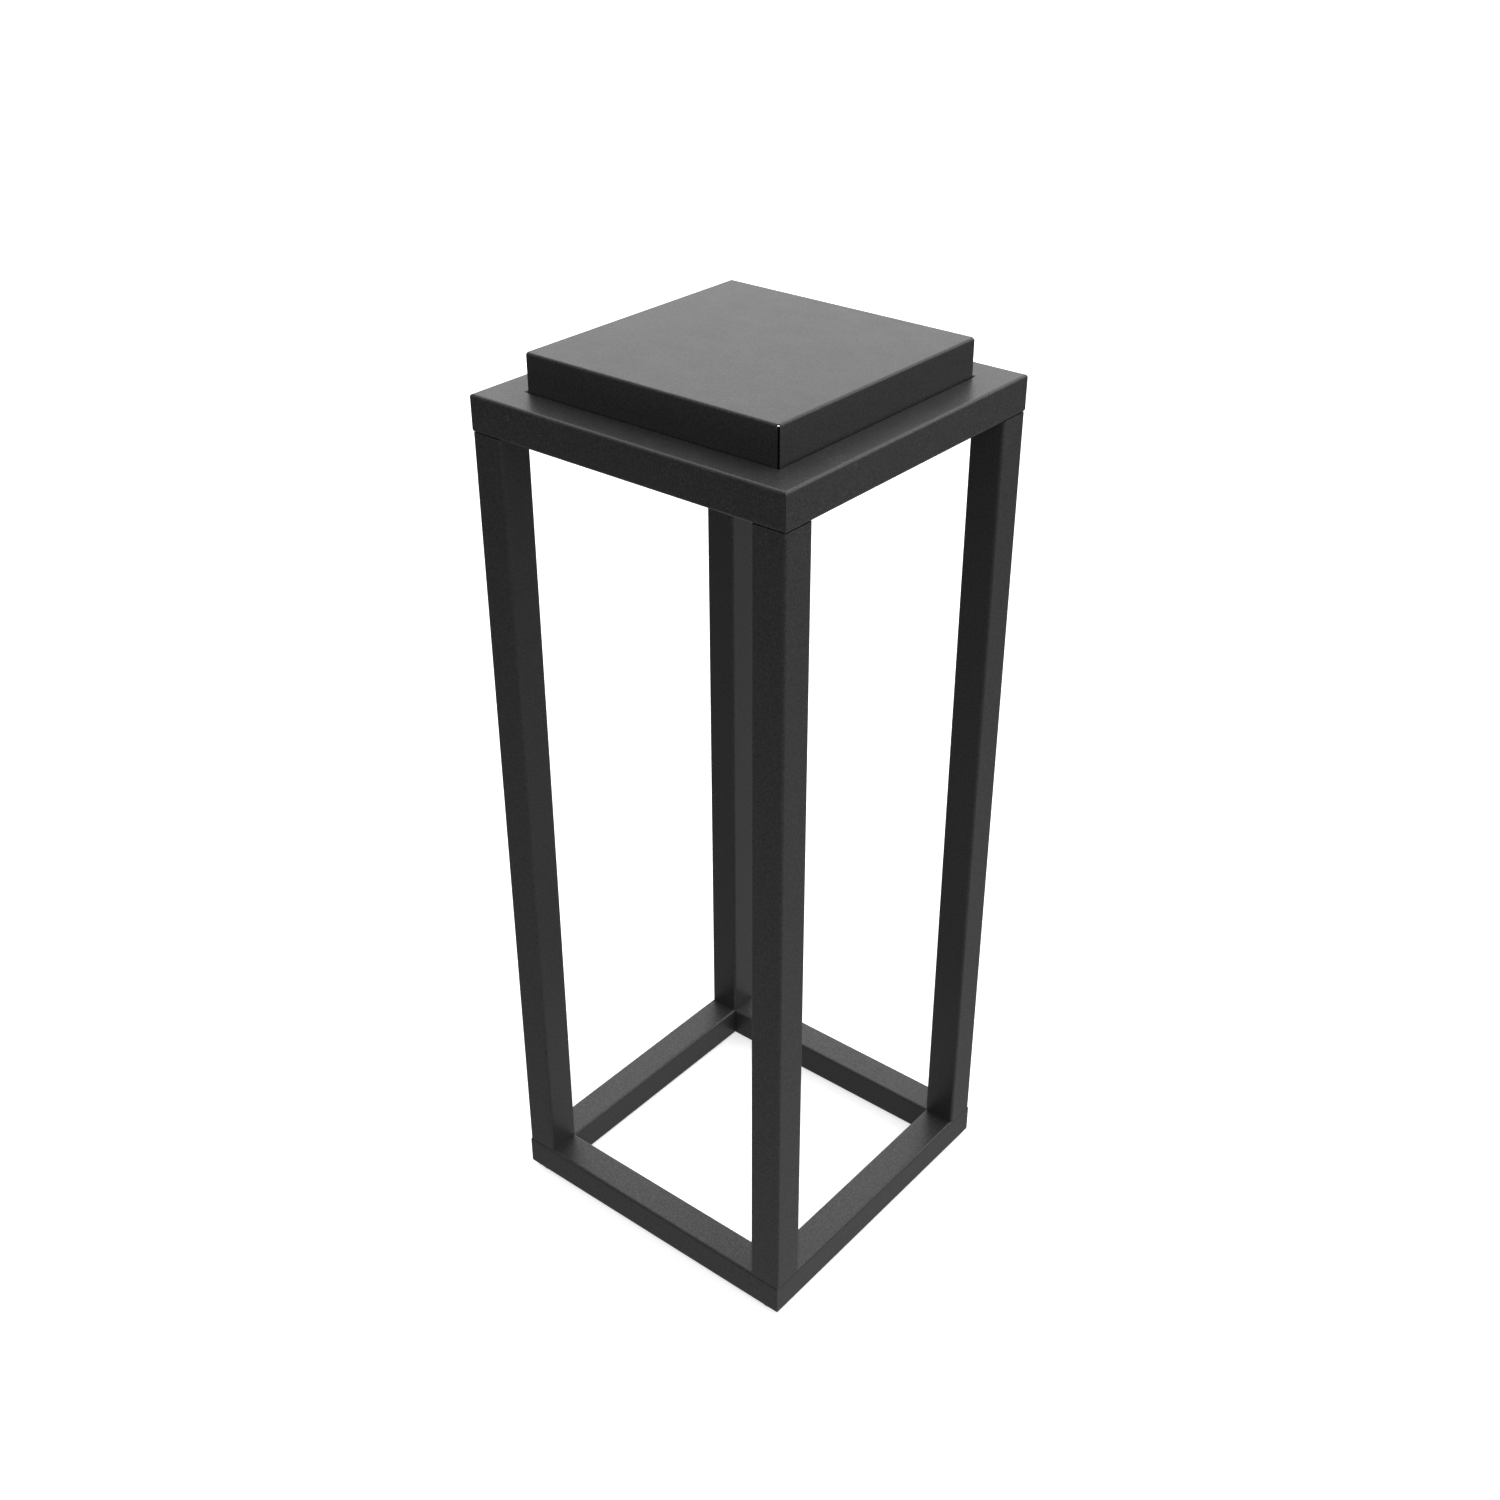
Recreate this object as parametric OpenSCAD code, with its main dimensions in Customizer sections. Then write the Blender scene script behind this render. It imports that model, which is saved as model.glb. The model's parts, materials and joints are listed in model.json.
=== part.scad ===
// Display plinth: an open frame of welded square tube on four levelling feet, with a folded
// sheet lid dropped into its top ring. Millimetres, +Z up, the front faces -Y. The origin is
// on the floor, under the middle of the frame.

/* [Frame] */
// Width of the frame, left to right
frame_w = 300; // [200:5:600]
// Depth of the frame, front to back
frame_d = 300; // [200:5:600]
// Height of the frame, from under its base ring to the top of its top ring
frame_h = 770; // [300:10:1200]

/* [Tube] */
// Outside size of the square tube
tube_w = 30; // [24:1:50]
// Wall thickness of the square tube
tube_wall = 1.5; // [1:0.1:3]
// Outside corner radius of the square tube
tube_r = 2.3; // [1:0.1:4]

/* [Lid] */
// How far the lid stands above the top ring
lid_rise = 30.7; // [10:0.1:80]
// Thickness of the lid's sheet
sheet_t = 1.2; // [0.8:0.1:2.5]
// Inside radius of the lid's bends
bend_r = 0.9; // [0.3:0.1:1.2]
// Gap between the lid and the top ring on each side
lid_gap = 0.25; // [0.1:0.05:1]
// Diameter of the round relief at the head of each corner seam
relief_d = 2.6; // [2:0.1:5]
// Radius of the weld bead that closes each corner seam from inside
seam_bead_r = 0.7; // [0.4:0.1:0.8]

/* [Lid supports] */
// How much longer each welded edge of a bracket is than its pad needs
bracket_spare = 7; // [2:1:20]
// Thickness of the brackets
bracket_t = 3; // [2:0.5:6]
// Height of the brackets above the underside of the top ring
bracket_lift = 4; // [4:0.5:8]
// Side of the square pad on each bracket
pad_w = 16; // [10:1:18]
// Thickness of the pads
pad_t = 1.5; // [1:0.1:3]
// Corner radius of the pads
pad_r = 2; // [0.5:0.5:4]
// Gap between a pad and the tubes beside it
pad_gap = 0.5; // [0.2:0.1:0.8]

/* [Feet] */
// Diameter of the plastic glides
glide_d = 25; // [22:1:30]
// Height of the glides, which is how far the frame stands off the floor
glide_h = 3; // [2.5:0.5:8]
// Radius of the lower edge of the glides
glide_edge = 0.8; // [0.2:0.1:1.5]
// Diameter of the flat head of the foot's stem
head_d = 18; // [12:1:20]
// Thickness of the flat head of the foot's stem
head_t = 1.5; // [1:0.1:2]
// Diameter of the stem's thread
stem_d = 8; // [5:1:10]
// Gap between the tip of the stem and the top wall of the base ring, with the foot screwed in
stem_tip_gap = 5.5; // [1:0.5:8]
// Chamfer at the tip of the stem
stem_chamfer = 1; // [0.5:0.1:1.5]
// Outside diameter of the threaded bush in each corner of the base ring
bush_d = 14; // [12:1:20]
// Height of the threaded bush
bush_h = 14; // [8:1:16]

/* [Fits] */
// Running clearance of the stem in its bush, on the radius
stem_gap = 0.05; // [0.02:0.01:0.1]
// Clearance of a bush or a stem's head in its seat, on the radius
seat_gap = 0.05; // [0.02:0.01:0.1]

/* [Hidden] */
$fn = 64;
SIDES = ["front", "right", "back", "left"];
CORNERS = ["front_left", "front_right", "back_right", "back_left"];

// Colours of the finishes
coat_colour = "#2b2b2e";
steel_colour = "#a9abad";
plastic_colour = "#18181a";
felt_colour = "#202022";

// Levels, from the floor up
base_z = glide_h;
leg_z = base_z + tube_w;
top_z = base_z + frame_h - tube_w;
leg_h = top_z - leg_z;
bracket_z = top_z + bracket_lift;
pad_z = bracket_z + bracket_t;
flange_z = pad_z + pad_t;
ring_top_z = top_z + tube_w;
lid_top_z = ring_top_z + lid_rise;

// Sizes that follow from the ones above
tube_inner_w = tube_w - 2 * tube_wall;
tube_inner_r = max(tube_r - tube_wall, 0.3);
open_w = frame_w - 2 * tube_w;
open_d = frame_d - 2 * tube_w;
lid_w = open_w - 2 * lid_gap;
lid_d = open_d - 2 * lid_gap;
lid_h = lid_top_z - flange_z;
bend_outer_r = bend_r + sheet_t;
bead_inset = 0.6 * seam_bead_r;
bracket_leg = 2 * (pad_gap + pad_w) + bracket_spare;
bush_bore_d = stem_d + 2 * stem_gap;
stem_len = tube_w - tube_wall - stem_tip_gap;

// Overshoot of a cut past the face that it cuts through
over = 1;

// Square with rounded corners, centred on the origin
module rounded_square(w, r) {
    square([w, w - 2 * r], center = true);
    square([w - 2 * r, w], center = true);
    for (x = [-1, 1], y = [-1, 1])
        translate([x * (w / 2 - r), y * (w / 2 - r)])
            circle(r);
}

// Section of the square tube, centred on the origin
module tube_section() {
    difference() {
        rounded_square(tube_w, tube_r);
        rounded_square(tube_inner_w, tube_inner_r);
    }
}

// Children turned to one side of the frame; they are drawn for the front, which faces -Y
module at_side(i) {
    rotate([0, 0, 90 * i])
        children();
}

// Distance from the middle of the frame to its outer face on side i, and the length of that side
function side_reach(i) = (i % 2 == 0 ? frame_d : frame_w) / 2;
function side_length(i) = i % 2 == 0 ? frame_w : frame_d;

// Children mirrored to one corner of the frame; they are drawn at the front right, where x > 0 > y
module at_corner(i) {
    x_flip = i == 0 || i == 3 ? 1 : 0;
    y_flip = i >= 2 ? 1 : 0;
    mirror([x_flip, 0, 0])
        mirror([0, y_flip, 0])
            children();
}

// Children on the upright axis of the front right leg, which the foot below it shares
module on_leg_axis() {
    translate([(frame_w - tube_w) / 2, -(frame_d - tube_w) / 2, 0])
        children();
}

// One mitred tube of a ring, along X, centred on the origin; its long face is at -Y
module ring_tube(length) {
    cut = 2 * tube_w;
    difference() {
        rotate([90, 0, 90])
            linear_extrude(length, center = true)
                tube_section();
        for (flip = [0, 1])
            mirror([flip, 0, 0])
                translate([length / 2, -tube_w / 2, 0])
                    rotate([0, 0, 45])
                        translate([0, -cut, -cut / 2])
                            cube([cut, 2 * cut, cut]);
    }
}

// Tube of the base ring on side i, with the halves of the two holes for the feet's bushes
module base_tube(i) {
    color(coat_colour)
        at_side(i)
            translate([0, tube_w / 2 - side_reach(i), base_z])
                difference() {
                    translate([0, 0, tube_w / 2])
                        ring_tube(side_length(i));
                    for (side = [-1, 1])
                        translate([side * (side_length(i) - tube_w) / 2, 0, -over])
                            cylinder(d = bush_d, h = over + tube_w / 2);
                }
}

// Tube of the top ring on side i
module top_tube(i) {
    color(coat_colour)
        at_side(i)
            translate([0, tube_w / 2 - side_reach(i), top_z + tube_w / 2])
                ring_tube(side_length(i));
}

// Upright tube between the rings at corner i
module leg(i) {
    color(coat_colour)
        at_corner(i)
            on_leg_axis()
                translate([0, 0, leg_z])
                    linear_extrude(leg_h)
                        tube_section();
}

// Upright section of the lid across a width, with its two top edges rounded
module lid_section(w, top, r) {
    translate([-w / 2, flange_z - over])
        square([w, top - r - flange_z + over]);
    translate([r - w / 2, flange_z - over])
        square([w - 2 * r, top - flange_z + over]);
    for (side = [-1, 1])
        translate([side * (w / 2 - r), top - r])
            circle(r);
}

// Block with rounded top edges: the outer or the inner faces of the folded lid
module lid_block(w, d, top, r) {
    intersection() {
        rotate([90, 0, 0])
            linear_extrude(d, center = true)
                lid_section(w, top, r);
        rotate([90, 0, 90])
            linear_extrude(w, center = true)
                lid_section(d, top, r);
    }
}

// Folded sheet lid: a flat top and four flanges bent down, open below. The flanges stop one
// sheet short of each corner, a bead inside closes the seam, and a round relief ends it.
module top_lid() {
    color(coat_colour)
        difference() {
            union() {
                difference() {
                    lid_block(lid_w, lid_d, lid_top_z, bend_outer_r);
                    lid_block(lid_w - 2 * sheet_t, lid_d - 2 * sheet_t, lid_top_z - sheet_t, bend_r);
                    for (i = [0:3])
                        at_corner(i)
                            translate([lid_w / 2 - sheet_t, -lid_d / 2 - over, flange_z - over])
                                cube([sheet_t + over, sheet_t + over, lid_h + 2 * over]);
                }
                for (i = [0:3])
                    at_corner(i)
                        translate([lid_w / 2 - sheet_t - bead_inset, sheet_t + bead_inset - lid_d / 2, flange_z])
                            cylinder(r = seam_bead_r, h = lid_h - sheet_t / 2);
            }
            translate([0, 0, flange_z - 2 * over])
                linear_extrude(2 * over)
                    square([2 * lid_w, 2 * lid_d], center = true);
            for (i = [0:3])
                at_corner(i)
                    translate([lid_w / 2 - sheet_t, sheet_t - lid_d / 2, lid_top_z - sheet_t])
                        sphere(d = relief_d);
        }
}

// Three-cornered bracket welded into corner i of the top ring, to carry the lid
module lid_bracket(i) {
    color(coat_colour)
        at_corner(i)
            translate([open_w / 2, -open_d / 2, bracket_z])
                linear_extrude(bracket_t)
                    polygon([[0, 0], [0, bracket_leg], [-bracket_leg, 0]]);
}

// Felt pad stuck on the bracket of corner i, under the lid's two flanges
module lid_pad(i) {
    color(felt_colour)
        at_corner(i)
            translate([open_w / 2 - pad_gap - pad_w / 2, pad_gap + pad_w / 2 - open_d / 2, pad_z])
                linear_extrude(pad_t)
                    rounded_square(pad_w, pad_r);
}

// Threaded bush set in the underside of the base ring at corner i
module foot_bush(i) {
    color(steel_colour)
        at_corner(i)
            on_leg_axis()
                translate([0, 0, base_z])
                    difference() {
                        cylinder(d = bush_d - 2 * seat_gap, h = bush_h);
                        translate([0, 0, -over])
                            cylinder(d = bush_bore_d, h = bush_h + 2 * over);
                    }
}

// Steel stem of the foot at corner i, with its flat head below; the thread is left plain
module foot_stem(i) {
    color(steel_colour)
        at_corner(i)
            on_leg_axis()
                translate([0, 0, glide_h - head_t])
                    rotate_extrude()
                        polygon([
                            [0, 0],
                            [head_d / 2, 0],
                            [head_d / 2, head_t],
                            [stem_d / 2, head_t],
                            [stem_d / 2, head_t + stem_len - stem_chamfer],
                            [stem_d / 2 - stem_chamfer, head_t + stem_len],
                            [0, head_t + stem_len]
                        ]);
}

// Plastic glide on the head of the foot at corner i, with a rounded lower edge
module foot_glide(i) {
    color(plastic_colour)
        at_corner(i)
            on_leg_axis()
                rotate_extrude()
                    difference() {
                        union() {
                            square([glide_d / 2 - glide_edge, glide_h]);
                            translate([0, glide_edge])
                                square([glide_d / 2, glide_h - glide_edge]);
                            translate([glide_d / 2 - glide_edge, glide_edge])
                                circle(glide_edge);
                        }
                        translate([-over, glide_h - head_t])
                            square([head_d / 2 + seat_gap + over, head_t + over]);
                    }
}

for (i = [0:3]) {
    base_tube(i);
    leg(i);
    top_tube(i);
    lid_bracket(i);
    lid_pad(i);
    foot_bush(i);
    foot_stem(i);
    foot_glide(i);
}
top_lid();
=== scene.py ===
import json
import math

import bmesh
import bpy
from bpy.props import FloatProperty, FloatVectorProperty, IntProperty, PointerProperty
from bpy.types import Operator, Panel, PropertyGroup
from mathutils import Matrix, Vector


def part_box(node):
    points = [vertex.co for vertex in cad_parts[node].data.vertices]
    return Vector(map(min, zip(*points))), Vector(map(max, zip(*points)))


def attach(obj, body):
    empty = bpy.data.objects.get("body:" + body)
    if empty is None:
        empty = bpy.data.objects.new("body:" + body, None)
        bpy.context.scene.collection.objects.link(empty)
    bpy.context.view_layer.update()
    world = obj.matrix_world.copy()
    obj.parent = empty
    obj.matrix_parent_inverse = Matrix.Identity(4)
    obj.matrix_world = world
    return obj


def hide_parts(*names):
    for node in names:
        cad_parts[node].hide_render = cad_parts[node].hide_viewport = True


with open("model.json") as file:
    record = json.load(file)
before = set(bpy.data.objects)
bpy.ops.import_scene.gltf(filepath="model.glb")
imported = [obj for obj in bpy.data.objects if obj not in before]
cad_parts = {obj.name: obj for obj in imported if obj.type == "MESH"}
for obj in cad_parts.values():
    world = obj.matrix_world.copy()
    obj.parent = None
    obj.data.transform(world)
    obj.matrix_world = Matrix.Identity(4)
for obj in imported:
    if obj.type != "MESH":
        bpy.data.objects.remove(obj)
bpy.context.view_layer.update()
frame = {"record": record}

bl_info = {
    "name": "Display plinth",
    "version": (1, 0, 0),
    "blender": (4, 5, 0),
    "location": "3D View > Sidebar > Plinth",
    "description": "Builds the finished pieces of a welded display plinth round its CAD frame",
    "category": "Add Mesh",
}

MM = 0.001
SIDES = ("front", "right", "back", "left")
CORNERS = ("front_left", "front_right", "back_right", "back_left")

RECORD = frame["record"]
SLOT_OF = {part["node"]: part["material_slot"] for part in RECORD["subparts"]}
BODY_OF = {node: body for body, nodes in RECORD["behaviour"]["bodies"].items() for node in nodes}

# Radius of the tiny flat on the axis of a solid turned piece, and the gap of the feet's fits
AXIS_RADIUS = 0.02 * MM
FIT_GAP = 0.05 * MM

# Part of its range that cloudy noise takes up
CLOUD_LOW, CLOUD_HIGH = 0.35, 0.65

# Sizes that the frame already holds
LEG_LOW, LEG_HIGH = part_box("leg_front_right")
LID_LOW, LID_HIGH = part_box("top_lid")
TUBE_SIZE = LEG_HIGH.x - LEG_LOW.x


# ---------------------------------------------------------------- settings


class TubeSettings(PropertyGroup):
    wall: FloatProperty(
        name="Wall",
        description="Wall thickness of the square tube",
        default=1.5 * MM, min=0.5 * MM, unit="LENGTH", precision=4,
    )
    corner: FloatProperty(
        name="Corner radius",
        description="Outside radius of the tube's long edges",
        default=2.3 * MM, min=0.5 * MM, unit="LENGTH", precision=4,
    )
    corner_steps: IntProperty(
        name="Corner steps",
        description="Flat steps in each rounded edge",
        default=10, min=2, max=32,
    )
    deburr: FloatProperty(
        name="Deburred end",
        description="Chamfer round the square-cut ends of the legs",
        default=0.05 * MM, min=0.0, unit="LENGTH", precision=4,
    )
    edge_band: FloatProperty(
        name="Edge band",
        description="Width beside each rounded edge over which the wear of the coat fades out",
        default=0.8 * MM, min=0.1 * MM, unit="LENGTH", precision=4,
    )


class LidSettings(PropertyGroup):
    sheet: FloatProperty(
        name="Sheet",
        description="Thickness of the folded sheet",
        default=1.2 * MM, min=0.5 * MM, unit="LENGTH", precision=4,
    )
    bend: FloatProperty(
        name="Inside bend radius",
        description="Inside radius of the four bends",
        default=0.9 * MM, min=0.1 * MM, unit="LENGTH", precision=4,
    )
    bend_steps: IntProperty(
        name="Bend steps",
        description="Flat steps in each bend",
        default=10, min=2, max=32,
    )
    relief: FloatProperty(
        name="Relief",
        description="Diameter of the round relief at the head of each corner seam",
        default=2.6 * MM, min=1.0 * MM, unit="LENGTH", precision=4,
    )
    bead: FloatProperty(
        name="Seam bead",
        description="Radius of the weld bead inside each corner seam",
        default=0.7 * MM, min=0.2 * MM, unit="LENGTH", precision=4,
    )
    bead_inset: FloatProperty(
        name="Bead inset",
        description="How far the bead stands in from the inner corner, as a share of its radius",
        default=0.6, min=0.0, max=0.9, subtype="FACTOR",
    )
    bead_ripple: FloatProperty(
        name="Bead ripple",
        description="Distance from one ripple of the seam bead to the next",
        default=1.1 * MM, min=0.3 * MM, unit="LENGTH", precision=4,
    )


class SupportSettings(PropertyGroup):
    weld_leg: FloatProperty(
        name="Weld leg",
        description="Leg length of the fillet welds under the brackets",
        default=2.4 * MM, min=0.5 * MM, unit="LENGTH", precision=4,
    )
    weld_length: FloatProperty(
        name="Weld length",
        description="Length of each stitch of weld",
        default=12.0 * MM, min=2.0 * MM, unit="LENGTH", precision=4,
    )
    plate_edge: FloatProperty(
        name="Plate edge",
        description="Width of the broken edge round the brackets",
        default=0.3 * MM, min=0.05 * MM, unit="LENGTH", precision=4,
    )
    pad_corner: FloatProperty(
        name="Pad corner",
        description="Corner radius of the felt pads",
        default=2.0 * MM, min=0.2 * MM, unit="LENGTH", precision=4,
    )


class FootSettings(PropertyGroup):
    glide_edge: FloatProperty(
        name="Glide edge",
        description="Radius of the lower edge of the plastic glides",
        default=0.8 * MM, min=0.1 * MM, unit="LENGTH", precision=4,
    )
    head: FloatProperty(
        name="Stem head",
        description="Diameter of the flat head of the stem, set into the glide",
        default=18.0 * MM, min=4.0 * MM, unit="LENGTH", precision=4,
    )
    head_height: FloatProperty(
        name="Head height",
        description="Thickness of the flat head of the stem",
        default=1.5 * MM, min=0.5 * MM, unit="LENGTH", precision=4,
    )
    thread: FloatProperty(
        name="Thread",
        description="Outside diameter of the stem's thread",
        default=8.0 * MM, min=2.0 * MM, unit="LENGTH", precision=4,
    )
    pitch: FloatProperty(
        name="Pitch",
        description="Rise of the thread in one turn",
        default=1.25 * MM, min=0.25 * MM, unit="LENGTH", precision=5,
    )
    thread_depth: FloatProperty(
        name="Thread depth",
        description="Depth of the thread, from its crest to its root",
        default=0.7 * MM, min=0.1 * MM, unit="LENGTH", precision=5,
    )
    round_steps: IntProperty(
        name="Round steps",
        description="Flat steps round each turned or moulded piece",
        default=72, min=12, max=256,
    )


class FinishSettings(PropertyGroup):
    coat: FloatVectorProperty(
        name="Coat",
        description="Colour of the powder coat on the tubes and the lid",
        default=(0.0258, 0.0258, 0.0273, 1.0), size=4, subtype="COLOR", min=0.0, max=1.0,
    )
    coat_roughness: FloatProperty(
        name="Coat roughness",
        description="Mean roughness of the powder coat",
        default=0.38, min=0.0, max=1.0, subtype="FACTOR",
    )
    grain: FloatProperty(
        name="Grain",
        description="Depth of the fine grain of the powder coat",
        default=0.08 * MM, min=0.0, unit="LENGTH", precision=6,
    )
    grain_size: FloatProperty(
        name="Grain size",
        description="Distance from one grain of the powder coat to the next",
        default=1.6 * MM, min=0.05 * MM, unit="LENGTH", precision=5,
    )
    peel: FloatProperty(
        name="Orange peel",
        description="Depth of the orange peel of the powder coat",
        default=0.06 * MM, min=0.0, unit="LENGTH", precision=6,
    )
    fleck_spacing: FloatProperty(
        name="Fleck spacing",
        description="Distance between the pale flecks of overspray on the tubes",
        default=1.9 * MM, min=0.2 * MM, unit="LENGTH", precision=5,
    )
    steel: FloatVectorProperty(
        name="Zinc plate",
        description="Colour of the zinc-plated stems and bushes",
        default=(0.52, 0.53, 0.54, 1.0), size=4, subtype="COLOR", min=0.0, max=1.0,
    )
    nylon: FloatVectorProperty(
        name="Nylon",
        description="Colour of the moulded glides",
        default=(0.012, 0.012, 0.013, 1.0), size=4, subtype="COLOR", min=0.0, max=1.0,
    )
    felt: FloatVectorProperty(
        name="Felt",
        description="Colour of the felt pads",
        default=(0.022, 0.022, 0.024, 1.0), size=4, subtype="COLOR", min=0.0, max=1.0,
    )


class StageSettings(PropertyGroup):
    azimuth: FloatProperty(
        name="Azimuth",
        description="Direction of the camera round the plinth, from straight in front towards the right",
        default=math.radians(39.12), subtype="ANGLE",
    )
    elevation: FloatProperty(
        name="Elevation",
        description="Height of the camera above the horizon, as an angle",
        default=math.radians(30.854), subtype="ANGLE",
    )
    distance: FloatProperty(
        name="Distance",
        description="Distance from the camera to the point that it looks at",
        default=1.5333, min=0.1, unit="LENGTH",
    )
    aim: FloatVectorProperty(
        name="Aim",
        description="Point that the camera looks at",
        default=(-0.0015, -0.0013, 0.4507), size=3, subtype="XYZ", unit="LENGTH",
    )
    field: FloatProperty(
        name="Field of view",
        description="Angle that the square picture takes in",
        default=math.radians(45.0), subtype="ANGLE",
    )
    sky: FloatProperty(
        name="Sky",
        description="Brightness of the even light from above",
        default=0.38, min=0.0,
    )
    wall: FloatProperty(
        name="Light wall",
        description="Brightness that the lit wall behind the plinth adds",
        default=1.10, min=0.0,
    )
    wall_azimuth: FloatProperty(
        name="Wall azimuth",
        description="Side that the lit wall stands on, from straight in front towards the right",
        default=math.radians(182.0), subtype="ANGLE",
    )
    overhead: FloatProperty(
        name="Overhead light",
        description="Brightness that the large soft light overhead adds at its middle",
        default=0.38, min=0.0,
    )
    overhead_fade: FloatProperty(
        name="Overhead fade",
        description="How fast the light overhead fades from its middle to its rim",
        default=1.5, min=0.0,
    )
    ground: FloatProperty(
        name="Ground",
        description="Brightness of the light that the ground sends straight up",
        default=0.61, min=0.0,
    )
    ground_lean: FloatProperty(
        name="Ground lean",
        description="How far the brightest part of the ground light leans out to the right, as an angle",
        default=math.radians(10.0), subtype="ANGLE",
    )
    ground_fade: FloatProperty(
        name="Ground fade",
        description="How fast the light of the ground fades towards the horizon",
        default=1.13, min=0.0,
    )
    floor: FloatVectorProperty(
        name="Floor",
        description="Colour of the studio floor",
        default=(0.9, 0.9, 0.9, 1.0), size=4, subtype="COLOR", min=0.0, max=1.0,
    )
    floor_radius: FloatProperty(
        name="Floor radius",
        description="Radius of the flat part of the studio floor",
        default=6.0, min=1.0, unit="LENGTH",
    )
    sweep: FloatProperty(
        name="Sweep",
        description="Radius with which the floor sweeps up into the studio walls",
        default=3.0, min=0.5, unit="LENGTH",
    )
    floor_glow: FloatProperty(
        name="Floor glow",
        description="Light that comes through the pale floor, which washes out its shadows",
        default=0.66, min=0.0,
    )


SETTINGS = {
    "plinth_tube": TubeSettings,
    "plinth_lid": LidSettings,
    "plinth_support": SupportSettings,
    "plinth_foot": FootSettings,
    "plinth_finish": FinishSettings,
    "plinth_stage": StageSettings,
}


# ---------------------------------------------------------------- mesh helpers


def rounded_square(width, radius, steps, band=0.0):
    """Points of a square with rounded corners, counter-clockwise round the origin.

    With a band, one more point stands on the flat that distance before and after each corner.
    """
    points = []
    for quarter in range(4):
        turn = Matrix.Rotation(quarter * math.pi / 2, 2)
        centre = Vector((width / 2 - radius, width / 2 - radius))
        corner = []
        for step in range(steps + 1):
            angle = step / steps * math.pi / 2
            corner.append(centre + radius * Vector((math.cos(angle), math.sin(angle))))
        if band:
            corner.insert(0, corner[0] - Vector((0, band)))
            corner.append(corner[-1] - Vector((band, 0)))
        points += [turn @ point for point in corner]
    return points


def circle(radius, steps):
    """Points of a circle, counter-clockwise round the origin."""
    turns = (2 * math.pi * step / steps for step in range(steps))
    return [Vector((radius * math.cos(turn), radius * math.sin(turn))) for turn in turns]


def bridge(bm, ring, after):
    """Joins two rings of as many vertices with a band of quads."""
    count = len(ring)
    for i in range(count):
        j = (i + 1) % count
        bm.faces.new((ring[i], ring[j], after[j], after[i]))


def stacked(bm, rings, closed=False):
    """Skin over a stack of rings of 3D points: closed into itself, or capped at both ends."""
    made = [[bm.verts.new(point) for point in ring] for ring in rings]
    for ring, after in zip(made, made[1:]):
        bridge(bm, ring, after)
    if closed:
        bridge(bm, made[-1], made[0])
    else:
        bm.faces.new(list(reversed(made[0])))
        bm.faces.new(made[-1])
    return made


def turned(bm, profile, steps, centre, closed=False):
    """Turned piece about an upright axis through centre, from a profile of (radius, height)."""
    rings = []
    for radius, height in profile:
        rings.append([centre + Vector((p.x, p.y, height)) for p in circle(radius, steps)])
    return stacked(bm, rings, closed)


def arc(centre, radius, start, end, steps):
    """Points of an arc in a profile, between two angles in degrees."""
    points = []
    for step in range(steps + 1):
        angle = math.radians(start + (end - start) * step / steps)
        points.append((centre[0] + radius * math.cos(angle), centre[1] + radius * math.sin(angle)))
    return points


def smooth_by_angle(bm, limit=math.radians(32)):
    """Shades faces smooth, and keeps edges sharper than the limit sharp."""
    for face in bm.faces:
        face.smooth = True
    for edge in bm.edges:
        edge.smooth = len(edge.link_faces) == 2 and edge.calc_face_angle(0) < limit


def corner_matrix(corner):
    """Mirrors a piece drawn at the front right to its own corner."""
    flip_x = -1 if corner.endswith("left") else 1
    flip_y = -1 if corner.startswith("back") else 1
    return Matrix.Diagonal((flip_x, flip_y, 1, 1))


def place(bm, matrix):
    """Moves a mesh, and turns its faces outward again where it was mirrored."""
    bm.transform(matrix)
    if matrix.determinant() < 0:
        bmesh.ops.reverse_faces(bm, faces=bm.faces)


def make_object(bm, name):
    """New object from a finished mesh, linked to the scene."""
    mesh = bpy.data.meshes.new(name)
    bm.to_mesh(mesh)
    bm.free()
    made = bpy.data.objects.new(name, mesh)
    bpy.context.scene.collection.objects.link(made)
    return made


def dress(made, node):
    """Gives a piece its finish and its even shading, and puts it in the place of its CAD node."""
    slot = SLOT_OF[node]
    made.data.materials.clear()
    made.data.materials.append(finish_for(slot))
    even = made.modifiers.new("even shading", "WEIGHTED_NORMAL")
    even.keep_sharp = True
    even.weight = 50
    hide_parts(node)
    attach(made, BODY_OF[node])


def add_piece(bm, node):
    """Finished piece for one CAD node."""
    bmesh.ops.recalc_face_normals(bm, faces=bm.faces)
    smooth_by_angle(bm)
    made = make_object(bm, node + "_finished")
    dress(made, node)
    return made


# ---------------------------------------------------------------- finishes


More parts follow.
